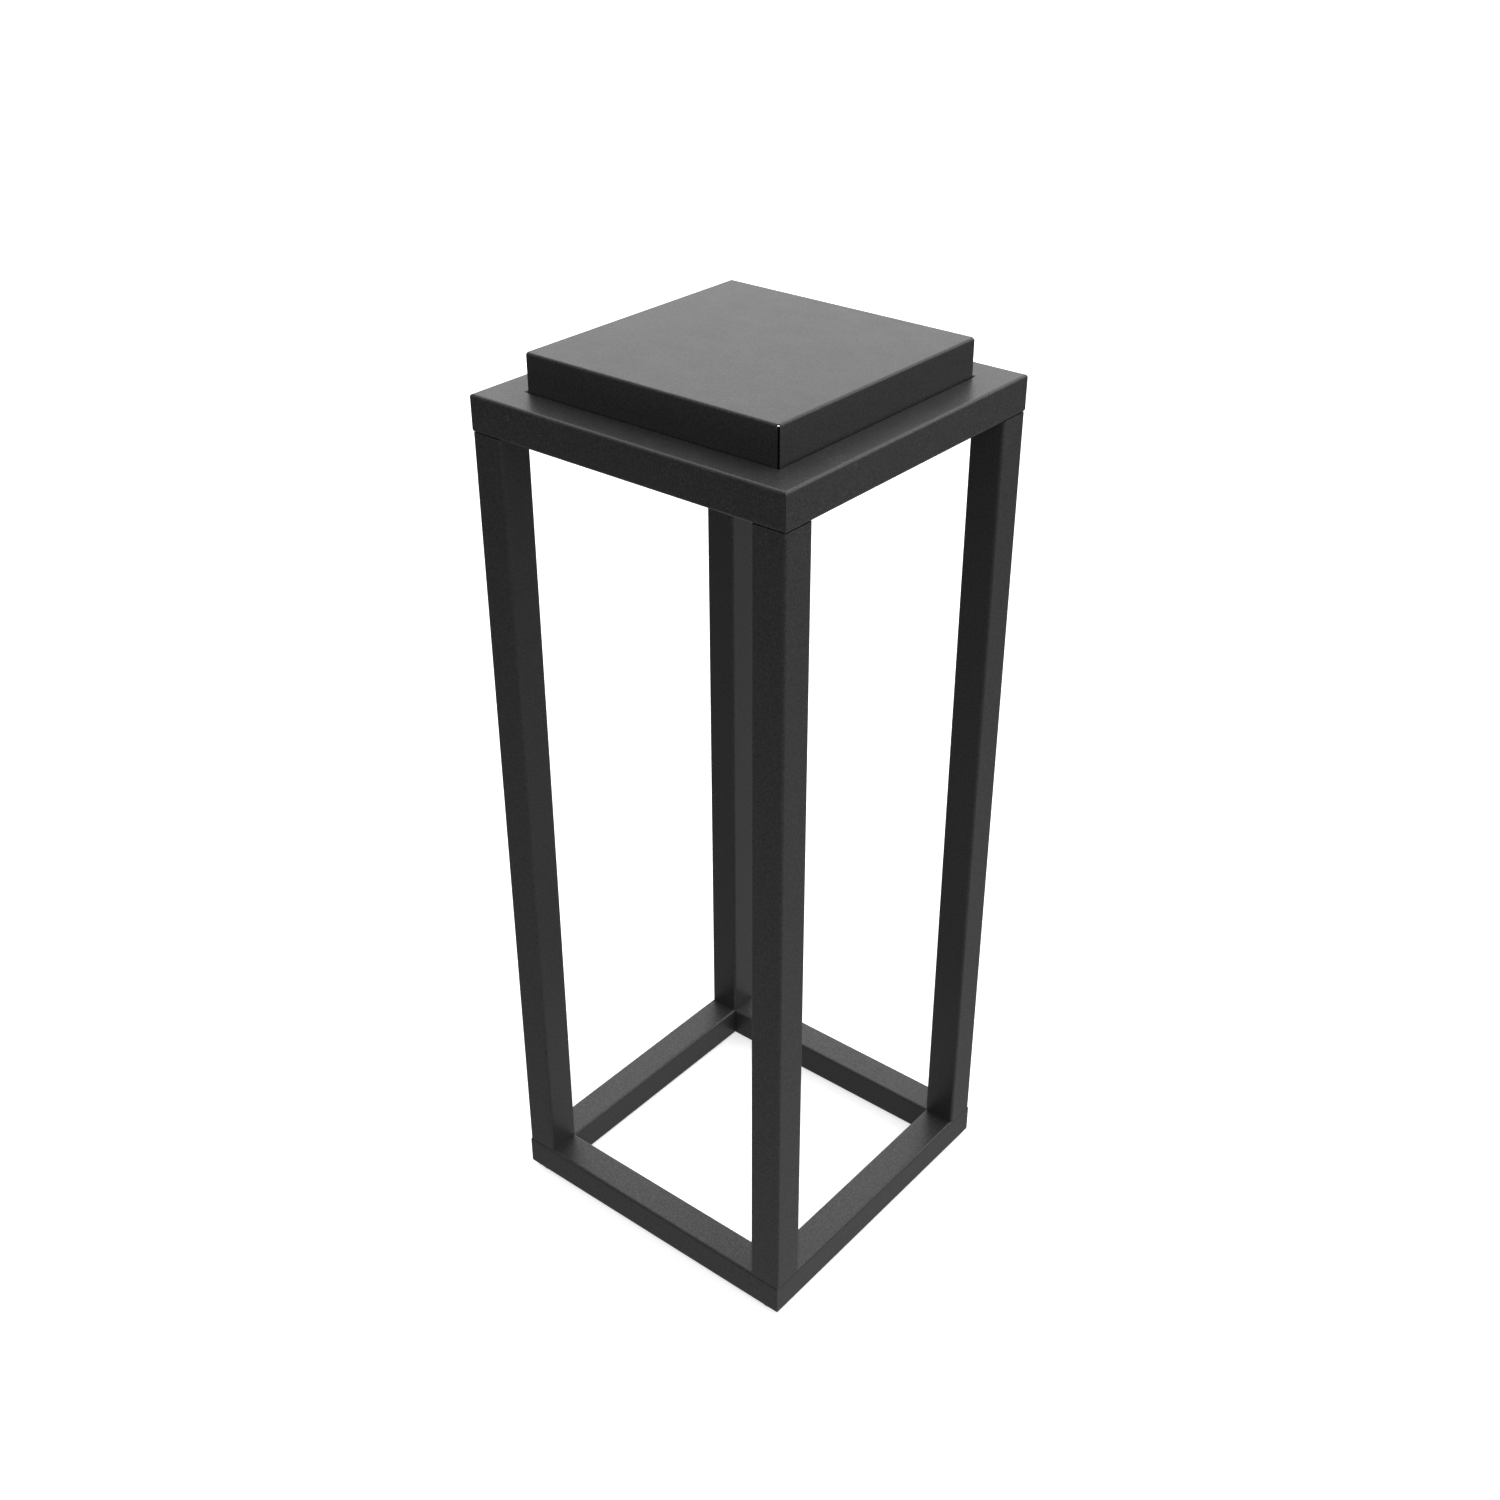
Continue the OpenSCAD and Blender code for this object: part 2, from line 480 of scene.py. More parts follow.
class NodeSheet:
    """The node tree of a material or the world, with short calls for the nodes that they share."""

    def __init__(self, name, world=None):
        self.material = world or bpy.data.materials.new(name)
        self.material.use_nodes = True
        self.tree = self.material.node_tree
        if world:
            self.tree.nodes.clear()
        else:
            self.shader = self.tree.nodes["Principled BSDF"]
            self.place = self.add("ShaderNodeTexCoord").outputs["Object"]

    def add(self, kind, inputs=(), **options):
        node = self.tree.nodes.new(kind)
        for option, value in options.items():
            setattr(node, option, value)
        for socket, value in dict(inputs).items():
            self.set(node.inputs[socket], value)
        return node

    def set(self, socket, value):
        if isinstance(value, bpy.types.NodeSocket):
            self.tree.links.new(value, socket)
        else:
            socket.default_value = value

    def noise(self, size, detail=2.0, roughness=0.5, place=None):
        """Soft noise whose features are about size metres across."""
        place = place or self.place
        inputs = {"Vector": place, "Scale": 1 / size, "Detail": detail, "Roughness": roughness}
        return self.add("ShaderNodeTexNoise", inputs).outputs["Fac"]

    def spread(self, value, low, high, start=0.0, end=1.0):
        """Maps value from low..high to start..end, held at both ends."""
        inputs = {"Value": value, "From Min": low, "From Max": high, "To Min": start, "To Max": end}
        return self.add("ShaderNodeMapRange", inputs, clamp=True).outputs["Result"]

    def maths(self, operation, *values):
        return self.add("ShaderNodeMath", dict(enumerate(values)), operation=operation).outputs[0]

    def blend(self, factor, first, second):
        """Colour between two colours."""
        node = self.add("ShaderNodeMix", data_type="RGBA")
        for socket, value in ((0, factor), (6, first), (7, second)):
            self.set(node.inputs[socket], value)
        return node.outputs[2]

    def bump(self, height, depth, strength=1.0, below=None):
        """Bump of the given depth in metres, on top of another bump."""
        inputs = {"Height": height, "Distance": depth, "Strength": strength}
        if below is not None:
            inputs["Normal"] = below
        return self.add("ShaderNodeBump", inputs).outputs["Normal"]

    def finish(self, **inputs):
        for socket, value in inputs.items():
            self.set(self.shader.inputs[socket.replace("_", " ")], value)
        return self.material


def tint(colour, factor):
    """The same colour, lighter or darker."""
    return tuple(min(1.0, channel * factor) for channel in colour[:3]) + (1.0,)


def painted_seam_shade(sheet):
    """1 in the notches of the lid's corner seams, and 0 elsewhere: where shade is painted into the
    seams.
    """
    sides = sheet.add("ShaderNodeSeparateXYZ", {0: sheet.place}).outputs
    fade = 0.02 * MM
    inside = []
    for side, reach in zip(sides, (LID_HIGH.x, LID_HIGH.y)):
        edge = reach - bpy.context.scene.plinth_lid.sheet
        inside.append(sheet.spread(sheet.maths("ABSOLUTE", side), edge - fade, edge))
    return sheet.maths("MULTIPLY", *inside)


def powder_coat(name, flecked):
    """Satin powder coat: clouds, orange peel and grain, with pale flecks, or with painted shade in the
    corner seams, on top.
    """
    settings = bpy.context.scene.plinth_finish
    sheet = NodeSheet(name)
    cloud = sheet.noise(24 * MM, detail=6, roughness=0.68)
    peel = sheet.noise(2.6 * MM, detail=2)
    grain = sheet.noise(settings.grain_size, detail=3, roughness=0.75)
    wear = sheet.add("ShaderNodeAttribute", attribute_name="edge_wear").outputs["Fac"]
    patches = sheet.spread(sheet.noise(6 * MM, detail=3), CLOUD_LOW, CLOUD_HIGH, 0.25, 1.0)
    rubbed = sheet.maths("MULTIPLY", wear, patches)

    dark, pale = tint(settings.coat, 0.55), tint(settings.coat, 1.9)
    base = sheet.blend(sheet.spread(grain, 0.3, 0.75), dark, pale)
    clouded = sheet.spread(cloud, CLOUD_LOW, CLOUD_HIGH, 0.0, 0.25)
    base = sheet.blend(clouded, base, tint(settings.coat, 1.5))
    base = sheet.blend(sheet.maths("MULTIPLY", rubbed, 0.25), base, tint(settings.coat, 2.2))
    if flecked:
        spacing = {"Vector": sheet.place, "Scale": 1 / settings.fleck_spacing}
        cells = sheet.add("ShaderNodeTexVoronoi", spacing)
        middle = sheet.spread(cells.outputs["Distance"], 0.14, 0.24, 1.0, 0.0)
        chosen = sheet.spread(cells.outputs["Color"], 0.48, 0.62)
        drift = sheet.spread(sheet.noise(60 * MM, detail=3), 0.44, 0.60, 0.08, 1.0)
        height = sheet.add("ShaderNodeSeparateXYZ", {0: sheet.place}).outputs["Z"]
        settle_band = 60 * MM
        settled = sheet.spread(height, LEG_HIGH.z - settle_band, LEG_HIGH.z, 0.04, 1.0)
        flecks = sheet.maths("MULTIPLY", sheet.maths("MULTIPLY", middle, chosen), drift)
        flecks = sheet.maths("MULTIPLY", flecks, settled)
        base = sheet.blend(flecks, base, tint(settings.coat, 7.0))

    shine = sheet.spread(grain, 0.3, 0.7, 0.36, 0.64)
    if not flecked:
        # Painted shade: the seam notches get a quarter of the coat's colour and little shine, standing
        # in for the deep shadow inside them.
        seams = painted_seam_shade(sheet)
        base = sheet.blend(seams, base, tint(settings.coat, 0.25))
        shine = sheet.spread(seams, 0.0, 1.0, shine, 0.1)

    rough = settings.coat_roughness
    roughness = sheet.spread(cloud, CLOUD_LOW, CLOUD_HIGH, rough - 0.02, rough + 0.02)
    roughness = sheet.maths("MULTIPLY_ADD", grain, 0.08, sheet.maths("SUBTRACT", roughness, 0.04))
    relief = sheet.bump(peel, settings.peel)
    relief = sheet.bump(grain, settings.grain, below=relief)
    return sheet.finish(Base_Color=base, Roughness=roughness, Specular_IOR_Level=shine, Normal=relief)


def frame_coat(name):
    """Coat of the tubes and brackets, flecked where overspray has settled."""
    return powder_coat(name, flecked=True)


def lid_coat(name):
    """Coat of the lid, an even grain without flecks, with painted shade that darkens and dulls the
    corner seams.
    """
    return powder_coat(name, flecked=False)


def zinc_plate(name):
    """Bright zinc plate on turned steel: fine turning lines, cloudy spangle and dull patches."""
    settings = bpy.context.scene.plinth_finish
    sheet = NodeSheet(name)
    stretched = sheet.add("ShaderNodeMapping", {"Vector": sheet.place, "Scale": (0.05, 0.05, 1.0)})
    lines = sheet.noise(0.18 * MM, detail=2, place=stretched.outputs["Vector"])
    cloud = sheet.noise(3 * MM, detail=3)
    dark, pale = tint(settings.steel, 0.8), tint(settings.steel, 1.1)
    base = sheet.blend(sheet.spread(cloud, 0.3, 0.7), dark, pale)
    roughness = sheet.spread(cloud, 0.3, 0.7, 0.28, 0.42)
    relief = sheet.bump(lines, 0.01 * MM, 0.5)
    return sheet.finish(Base_Color=base, Metallic=1.0, Roughness=roughness, Normal=relief)


def moulded_nylon(name):
    """Moulded nylon: a slight spark texture, with scuffs."""
    settings = bpy.context.scene.plinth_finish
    sheet = NodeSheet(name)
    spark = sheet.noise(0.3 * MM, detail=2)
    scuff = sheet.noise(4 * MM, detail=5, roughness=0.7)
    base = sheet.blend(sheet.spread(scuff, 0.45, 0.75), settings.nylon, tint(settings.nylon, 2.2))
    roughness = sheet.spread(scuff, 0.3, 0.7, 0.45, 0.62)
    relief = sheet.bump(spark, 0.02 * MM, 0.7)
    return sheet.finish(Base_Color=base, Roughness=roughness, Normal=relief)


def pressed_felt(name):
    """Pressed felt: matted fibres lying every way, without gloss."""
    settings = bpy.context.scene.plinth_finish
    sheet = NodeSheet(name)
    fibres = sheet.noise(0.25 * MM, detail=6, roughness=0.8)
    lumps = sheet.noise(2 * MM, detail=3)
    dark, pale = tint(settings.felt, 0.5), tint(settings.felt, 2.5)
    base = sheet.blend(sheet.spread(fibres, 0.3, 0.75), dark, pale)
    height = sheet.maths("ADD", fibres, lumps)
    relief = sheet.bump(height, 0.2 * MM, 0.8)
    return sheet.finish(
        Base_Color=base, Roughness=0.95, Normal=relief, Sheen_Weight=0.4, Sheen_Roughness=0.6
    )


FINISHES = {
    "frame_coat": ("frame_powder_coat", frame_coat),
    "lid_coat": ("lid_powder_coat", lid_coat),
    "zinc_steel": ("zinc_plated_steel", zinc_plate),
    "glide_plastic": ("moulded_black_nylon", moulded_nylon),
    "felt": ("pressed_black_felt", pressed_felt),
}


def finish_for(slot):
    """The material of a slot, made the first time that a piece asks for it."""
    name, make = FINISHES[slot]
    return bpy.data.materials.get(name) or make(name)


# ---------------------------------------------------------------- tubes


def tube_sections():
    """Outer and inner outline of the square tube, and which outer points lie on its rounded edges."""
    tube = bpy.context.scene.plinth_tube
    inner_corner = max(tube.corner - tube.wall, 0.3 * MM)
    outer = rounded_square(TUBE_SIZE, tube.corner, tube.corner_steps, tube.edge_band)
    inner = rounded_square(TUBE_SIZE - 2 * tube.wall, inner_corner, tube.corner_steps, tube.edge_band)
    per_corner = tube.corner_steps + 3
    rounded = [0 < i % per_corner < per_corner - 1 for i in range(len(outer))]
    return outer, inner, rounded


def hollow_tube(outer_ends, inner_ends):
    """Tube mesh, outside and then back inside; each end is a function from section to space."""
    outer, inner, rounded = tube_sections()
    bm = bmesh.new()
    layer = bm.verts.layers.float.new("edge_wear")
    rings = [[end(point) for point in outer] for end in outer_ends]
    rings += [[end(point) for point in inner] for end in inner_ends]
    made = stacked(bm, rings, closed=True)
    for ring in made[:len(outer_ends)]:
        for vert, worn in zip(ring, rounded):
            vert[layer] = float(worn)
    return bm


def ring_tube(length):
    """Mitred tube along X, with its long face at -Y, centred on the origin."""

    def mitred(side):
        return lambda p: Vector((side * (length / 2 - p.x - TUBE_SIZE / 2), p.x, p.y))

    return hollow_tube([mitred(-1), mitred(1)], [mitred(1), mitred(-1)])


def upright_tube(height):
    """Square-cut tube along Z from the origin, with its outer end edges deburred."""
    tube = bpy.context.scene.plinth_tube
    shrink = 1 - 2 * tube.deburr / TUBE_SIZE

    def level(z, scale=1.0):
        return lambda p: Vector((p.x * scale, p.y * scale, z))

    low, high = tube.deburr, height - tube.deburr
    outer_ends = [level(0, shrink), level(low), level(high), level(height, shrink)]
    return hollow_tube(outer_ends, [level(height), level(0)])


def add_ring(prefix):
    """The four mitred tubes of one ring."""
    for i, side in enumerate(SIDES):
        node = f"{prefix}_tube_{side}"
        low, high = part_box(node)
        length = max(high.x - low.x, high.y - low.y)
        bm = ring_tube(length)
        bm.transform(Matrix.Translation((low + high) / 2) @ Matrix.Rotation(i * math.pi / 2, 4, "Z"))
        add_piece(bm, node)


class PLINTH_OT_base_ring(Operator):
    """Build the four mitred tubes of the base ring"""

    bl_idname = "plinth.base_ring"
    bl_label = "Base ring"

    def execute(self, context):
        add_ring("base")
        return {"FINISHED"}


class PLINTH_OT_top_ring(Operator):
    """Build the four mitred tubes of the top ring"""

    bl_idname = "plinth.top_ring"
    bl_label = "Top ring"

    def execute(self, context):
        add_ring("top")
        return {"FINISHED"}


class PLINTH_OT_legs(Operator):
    """Build the four square-cut legs between the rings"""

    bl_idname = "plinth.legs"
    bl_label = "Legs"

    def execute(self, context):
        for corner in CORNERS:
            node = "leg_" + corner
            low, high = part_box(node)
            bm = upright_tube(high.z - low.z)
            bm.transform(Matrix.Translation(((low.x + high.x) / 2, (low.y + high.y) / 2, low.z)))
            add_piece(bm, node)
        return {"FINISHED"}


# ---------------------------------------------------------------- lid


def folded_block(bm, half_x, half_y, top, bottom, radius, steps):
    """Five faces of a block with rounded top edges, open below; returns its rim."""
    rings = [(radius * (1 - x), top - radius * (1 - y)) for x, y in arc((0, 0), 1, 90, 0, steps)]
    rings.append((0, bottom))
    corners = ((1, -1), (1, 1), (-1, 1), (-1, -1))
    made = []
    for inset, z in rings:
        made.append([bm.verts.new((x * (half_x - inset), y * (half_y - inset), z)) for x, y in corners])
    bm.faces.new(made[0])
    for ring, after in zip(made, made[1:]):
        bridge(bm, after, ring)
    return made[-1]


def lid_shell():
    """Folded sheet with mitred corners, before its seams and reliefs are cut."""
    lid = bpy.context.scene.plinth_lid
    bm = bmesh.new()
    half_x = (LID_HIGH.x - LID_LOW.x) / 2
    half_y = (LID_HIGH.y - LID_LOW.y) / 2
    steps = lid.bend_steps
    outer = folded_block(bm, half_x, half_y, LID_HIGH.z, LID_LOW.z, lid.bend + lid.sheet, steps)
    inner = folded_block(
        bm, half_x - lid.sheet, half_y - lid.sheet, LID_HIGH.z - lid.sheet, LID_LOW.z, lid.bend, steps
    )
    bridge(bm, outer, inner)
    bmesh.ops.recalc_face_normals(bm, faces=bm.faces)
    return bm


def seam_corner(corner):
    """Where the inner edges of two flanges meet, at one corner of the lid."""
    lid = bpy.context.scene.plinth_lid
    x = LID_HIGH.x - lid.sheet
    y = LID_LOW.y + lid.sheet
    return corner_matrix(corner) @ Vector((x, y, LID_HIGH.z - lid.sheet))


def seam_cutters():
    """Square notches that the flanges leave at the four corners."""
    lid = bpy.context.scene.plinth_lid
    bm = bmesh.new()
    reach = 2 * lid.sheet
    low, high = LID_LOW.z - reach, LID_HIGH.z + reach
    inner = seam_corner("front_right")
    square = ((0, 0), (0, -reach), (reach, -reach), (reach, 0))
    for corner in CORNERS:
        flip = corner_matrix(corner)
        rings = []
        for z in (low, high):
            rings.append([flip @ Vector((inner.x + x, inner.y + y, z)) for x, y in square])
        stacked(bm, rings)
    bmesh.ops.recalc_face_normals(bm, faces=bm.faces)
    return make_object(bm, "seam_cutters")


def relief_cutters():
    """Balls that open the round relief at the head of each seam."""
    lid = bpy.context.scene.plinth_lid
    bm = bmesh.new()
    for corner in CORNERS:
        at = Matrix.Translation(seam_corner(corner))
        bmesh.ops.create_uvsphere(bm, u_segments=32, v_segments=16, radius=lid.relief / 2, matrix=at)
    return make_object(bm, "relief_cutters")


def seam_beads():
    """Rippled weld beads that close the seams from inside."""
    lid = bpy.context.scene.plinth_lid
    bm = bmesh.new()
    height = LID_HIGH.z - lid.sheet / 2 - LID_LOW.z
    per_ripple = 4
    trough, crest = 0.86, 0.14
    levels = round(height / lid.bead_ripple) * per_ripple
    profile = []
    for i in range(levels + 1):
        ripple = abs(math.sin(math.pi * i / per_ripple))
        profile.append((lid.bead * (trough + crest * ripple), height * i / levels))
    inset = lid.bead * lid.bead_inset
    for corner in CORNERS:
        at = seam_corner(corner)
        centre = Vector((at.x * (1 - inset / abs(at.x)), at.y * (1 - inset / abs(at.y)), LID_LOW.z))
        turned(bm, profile, 12, centre)
    bmesh.ops.recalc_face_normals(bm, faces=bm.faces)
    return make_object(bm, "seam_beads")


def carve(made, other, operation):
    """Applies a boolean with a helper object, then removes the helper."""
    step = made.modifiers.new("carve", "BOOLEAN")
    step.object = other
    step.operation = operation
    step.solver = "EXACT"
    graph = bpy.context.evaluated_depsgraph_get()
    mesh = bpy.data.meshes.new_from_object(made.evaluated_get(graph))
    made.modifiers.clear()
    old = made.data
    made.data = mesh
    bpy.data.meshes.remove(old)
    bpy.data.objects.remove(other)


# Vertices nearer to each other than this are joined after the cuts
WELD_DISTANCE = 0.002 * MM


class PLINTH_OT_lid(Operator):
    """Fold the lid from sheet, with open corner seams, round reliefs and a bead inside each seam"""

    bl_idname = "plinth.lid"
    bl_label = "Lid"

    def execute(self, context):
        made = make_object(lid_shell(), "folded_lid")
        carve(made, seam_cutters(), "DIFFERENCE")
        carve(made, seam_beads(), "UNION")
        carve(made, relief_cutters(), "DIFFERENCE")
        bm = bmesh.new()
        bm.from_mesh(made.data)
        bpy.data.objects.remove(made)
        bmesh.ops.remove_doubles(bm, verts=bm.verts, dist=WELD_DISTANCE)
        add_piece(bm, "top_lid")
        return {"FINISHED"}


# ---------------------------------------------------------------- lid supports


# Middles of the two stitches of weld on each edge of a bracket, as shares of its length
STITCH_MIDDLES = (0.28, 0.72)


def bracket_plate(size, thickness, edge):
    """Three-cornered plate with broken edges; its square corner is at the origin, towards +X -Y."""
    outline = [Vector((0, 0)), Vector((0, size)), Vector((-size, 0))]
    centre = sum(outline, Vector((0, 0))) / 3
    bm = bmesh.new()
    rings = []
    for z, inset in ((0, edge), (edge, 0), (thickness - edge, 0), (thickness, edge)):
        shrink = 1 - 2 * inset / size
        rings.append([(centre + (p - centre) * shrink).to_3d() + Vector((0, 0, z)) for p in outline])
    stacked(bm, rings)
    return bm


def weld_stitch(bm, start, along, out, leg, length):
    """Rippled fillet weld from start, along an edge; out points away from the wall, under the plate."""
    stations = 36
    per_ripple = 4
    profile_steps = 6
    down = Vector((0, 0, -1))
    rings = []
    for i in range(stations + 1):
        share = i / stations
        swell = math.sin(math.pi * min(1.0, max(0.02, share))) ** 0.35
        ripple = 1 + 0.08 * math.sin(2 * math.pi * share * stations / per_ripple)
        size = leg * swell * ripple
        base = start + along * (length * share)
        ring = [base]
        for step in range(profile_steps + 1):
            angle = step / profile_steps * math.pi / 2
            bulge = 0.82 + 0.18 * abs(math.cos(2 * angle))
            ring.append(base + (out * math.cos(angle) + down * math.sin(angle)) * size * bulge)
        rings.append(ring)
    stacked(bm, rings)


class PLINTH_OT_brackets(Operator):
    """Build the brackets in the corners of the top ring, with stitches of weld under them"""

    bl_idname = "plinth.brackets"
    bl_label = "Brackets"

    def execute(self, context):
        support = context.scene.plinth_support
        for corner in CORNERS:
            node = "lid_bracket_" + corner
            low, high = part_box(node)
            size = high.x - low.x
            bm = bracket_plate(size, high.z - low.z, support.plate_edge)
            left, back = Vector((-1, 0, 0)), Vector((0, 1, 0))
            for middle in STITCH_MIDDLES:
                offset = size * middle - support.weld_length / 2
                weld_stitch(bm, back * offset, back, left, support.weld_leg, support.weld_length)
                weld_stitch(bm, left * offset, left, back, support.weld_leg, support.weld_length)
            at_x = high.x if corner.endswith("right") else low.x
            at_y = high.y if corner.startswith("back") else low.y
            place(bm, Matrix.Translation((at_x, at_y, low.z)) @ corner_matrix(corner))
            add_piece(bm, node)
        return {"FINISHED"}


def arc_from_wall(edge, top, steps=5):
    """Rounded upper edge of an upright wall, as (inset, height) pairs that end at its top."""
    levels = []
    for step in range(steps + 1):
        angle = math.pi / 2 * step / steps
        levels.append((edge * (1 - math.cos(angle)), top - edge * (1 - math.sin(angle))))
    return levels


class PLINTH_OT_pads(Operator):
    """Build the felt pads that the lid rests on"""

    bl_idname = "plinth.pads"
    bl_label = "Felt pads"

    def execute(self, context):
        support = context.scene.plinth_support
        for corner in CORNERS:
            node = "lid_pad_" + corner
            low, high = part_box(node)
            width = high.x - low.x
            height = high.z - low.z
            edge = height / 3
            levels = [(0, 0)] + arc_from_wall(edge, height)
            rings = []
            for inset, z in levels:
                outline = rounded_square(width - 2 * inset, support.pad_corner - inset, 8)
                rings.append([p.to_3d() + Vector((0, 0, z)) for p in outline])
            bm = bmesh.new()
            stacked(bm, rings)
            bm.transform(Matrix.Translation(((low.x + high.x) / 2, (low.y + high.y) / 2, low.z)))
            add_piece(bm, node)
        return {"FINISHED"}


# ---------------------------------------------------------------- feet


def foot_centre(corner):
    """Point on the floor under one leg, where its foot stands."""
    low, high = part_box("foot_glide_" + corner)
    return Vector(((low.x + high.x) / 2, (low.y + high.y) / 2, 0.0))


class PLINTH_OT_glides(Operator):
    """Mould the low plastic glides of the feet"""

    bl_idname = "plinth.glides"
    bl_label = "Glides"

    def execute(self, context):
        foot = context.scene.plinth_foot
        for corner in CORNERS:
            node = "foot_glide_" + corner
            low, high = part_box(node)
            radius = (high.x - low.x) / 2
            height = high.z - low.z
            edge = foot.glide_edge
            small = 0.25 * MM
            gate, gate_rim, gate_depth = 1.2 * MM, 1.5 * MM, 0.3 * MM
            groove, groove_depth = radius * 0.62, 0.45 * MM
            seat = foot.head / 2 + FIT_GAP
            seat_floor = height - foot.head_height
            profile = [(AXIS_RADIUS, gate_depth), (gate, gate_depth), (gate_rim, 0.0)]
            profile += arc((groove, 0.0), groove_depth, 180, 0, 8)
            profile += arc((radius - edge, edge), edge, -90, 0, 8)
            profile += arc((radius - small, height - small), small, 0, 90, 4)
            profile += [(seat + small, height), (seat, height - small), (seat, seat_floor)]
            profile.append((AXIS_RADIUS, seat_floor))
            bm = bmesh.new()
            turned(bm, profile, foot.round_steps, foot_centre(corner) + Vector((0, 0, low.z)))
            add_piece(bm, node)
        return {"FINISHED"}


def threaded_rod(bm, centre, bottom, top, foot):
    """Rod with a helical thread that runs out at its foot, chamfered at its tip."""
    steps = 48
    crest = foot.thread / 2
    per_turn = 10
    tip, tip_slope = 1.2 * MM, 0.8
    levels = round((top - bottom) / foot.pitch * per_turn)
    rings = []
    for i in range(levels + 1):
        z = bottom + (top - bottom) * i / levels
        fade = min(1.0, (z - bottom) / foot.pitch)
        limit = crest - max(0.0, z - (top - tip)) * tip_slope
        ring = []
        for step in range(steps):
            turn = step / steps
            phase = (z / foot.pitch - turn) % 1.0
            flank = min(1.0, max(0.0, abs(phase - 0.5) * 2.6 - 0.25))
            radius = min(crest - foot.thread_depth * flank * fade, limit)
            angle = 2 * math.pi * turn
            ring.append(centre + Vector((radius * math.cos(angle), radius * math.sin(angle), z)))
        rings.append(ring)
    stacked(bm, rings)


class PLINTH_OT_stems(Operator):
    """Cut the threaded stems of the feet, with their flat heads"""

    bl_idname = "plinth.stems"
    bl_label = "Stems"

    def execute(self, context):
        foot = context.scene.plinth_foot
        for corner in CORNERS:
            node = "foot_stem_" + corner
            low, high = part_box(node)
            small = 0.2 * MM
            head = foot.head / 2
            centre = foot_centre(corner)
            bm = bmesh.new()
            neck = low.z + foot.head_height
            profile = [
                (AXIS_RADIUS, low.z), (head - small, low.z), (head, low.z + small),
                (head, neck - small), (head - small, neck), (AXIS_RADIUS, neck),
            ]
            turned(bm, profile, foot.round_steps, centre)
            threaded_rod(bm, centre, neck - small, high.z, foot)
            add_piece(bm, node)
        return {"FINISHED"}


class PLINTH_OT_bushes(Operator):
    """Turn the threaded bushes that the stems run in"""

    bl_idname = "plinth.bushes"
    bl_label = "Bushes"

    def execute(self, context):
        foot = context.scene.plinth_foot
        for corner in CORNERS:
            node = "foot_bush_" + corner
            low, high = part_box(node)
            small = 0.4 * MM
            outer = (high.x - low.x) / 2
            bore = foot.thread / 2 + FIT_GAP
            profile = [
                (bore + small, low.z), (outer - small, low.z), (outer, low.z + small),
                (outer, high.z - small), (outer - small, high.z), (bore + small, high.z),
                (bore, high.z - small), (bore, low.z + small),
            ]
            bm = bmesh.new()
            turned(bm, profile, foot.round_steps, foot_centre(corner), closed=True)
            add_piece(bm, node)
        return {"FINISHED"}


# ---------------------------------------------------------------- stage


def heading(azimuth, elevation):
    """Unit vector towards an azimuth, from straight in front towards the right, and an elevation."""
    level = math.cos(elevation)
    return Vector((math.sin(azimuth) * level, -math.cos(azimuth) * level, math.sin(elevation)))


def add_camera(stage):
    """Camera that looks at the aim point from its angle and distance."""
    data = bpy.data.cameras.new("camera")
    data.sensor_width = 36.0
    data.angle = stage.field
    data.clip_start, data.clip_end = 0.05, 200.0
    camera = bpy.data.objects.new("camera", data)
    bpy.context.scene.collection.objects.link(camera)
    back = heading(stage.azimuth, stage.elevation)
    camera.location = Vector(stage.aim) + back * stage.distance
    camera.rotation_euler = (-back).to_track_quat("-Z", "Y").to_euler()
    bpy.context.scene.camera = camera


def one_sided(sheet):
    """Lets a surface show from its front only, so that the plinth can be seen from under the floor."""
    behind = sheet.add("ShaderNodeNewGeometry").outputs["Backfacing"]
    clear = sheet.add("ShaderNodeBsdfTransparent").outputs[0]
    mixed = sheet.add("ShaderNodeMixShader", {0: behind, 1: sheet.shader.outputs[0], 2: clear})
    sheet.set(sheet.tree.nodes["Material Output"].inputs["Surface"], mixed.outputs[0])


def add_floor(stage):
    """Wide pale floor that sweeps up into walls. The dome stands for the light that it gives."""
    sweep = stage.sweep
    profile = [(0.01, 0.0), (0.3 * stage.floor_radius, 0.0)]
    profile += arc((stage.floor_radius, sweep), sweep, -90, 0, 16)
    profile.append((stage.floor_radius + sweep, 3 * sweep))
    bm = bmesh.new()
    rings = turned(bm, profile, 96, Vector((0, 0, 0)))
    top_cap = [face for face in bm.faces if set(face.verts) == set(rings[-1])]
    bmesh.ops.delete(bm, geom=top_cap, context="FACES_ONLY")
    for face in bm.faces:
        face.normal_flip()
        face.smooth = True
    floor = make_object(bm, "studio_floor")
    sheet = NodeSheet("studio_floor")
    base = sheet.blend(sheet.noise(0.8), tint(stage.floor, 0.99), stage.floor)
    white = (1.0, 1.0, 1.0, 1.0)
    sheet.finish(
        Base_Color=base, Roughness=0.95, Emission_Color=white, Emission_Strength=stage.floor_glow
    )
    one_sided(sheet)
    floor.data.materials.append(sheet.material)
    floor.visible_glossy = False
    floor.visible_diffuse = False
    floor.visible_shadow = False


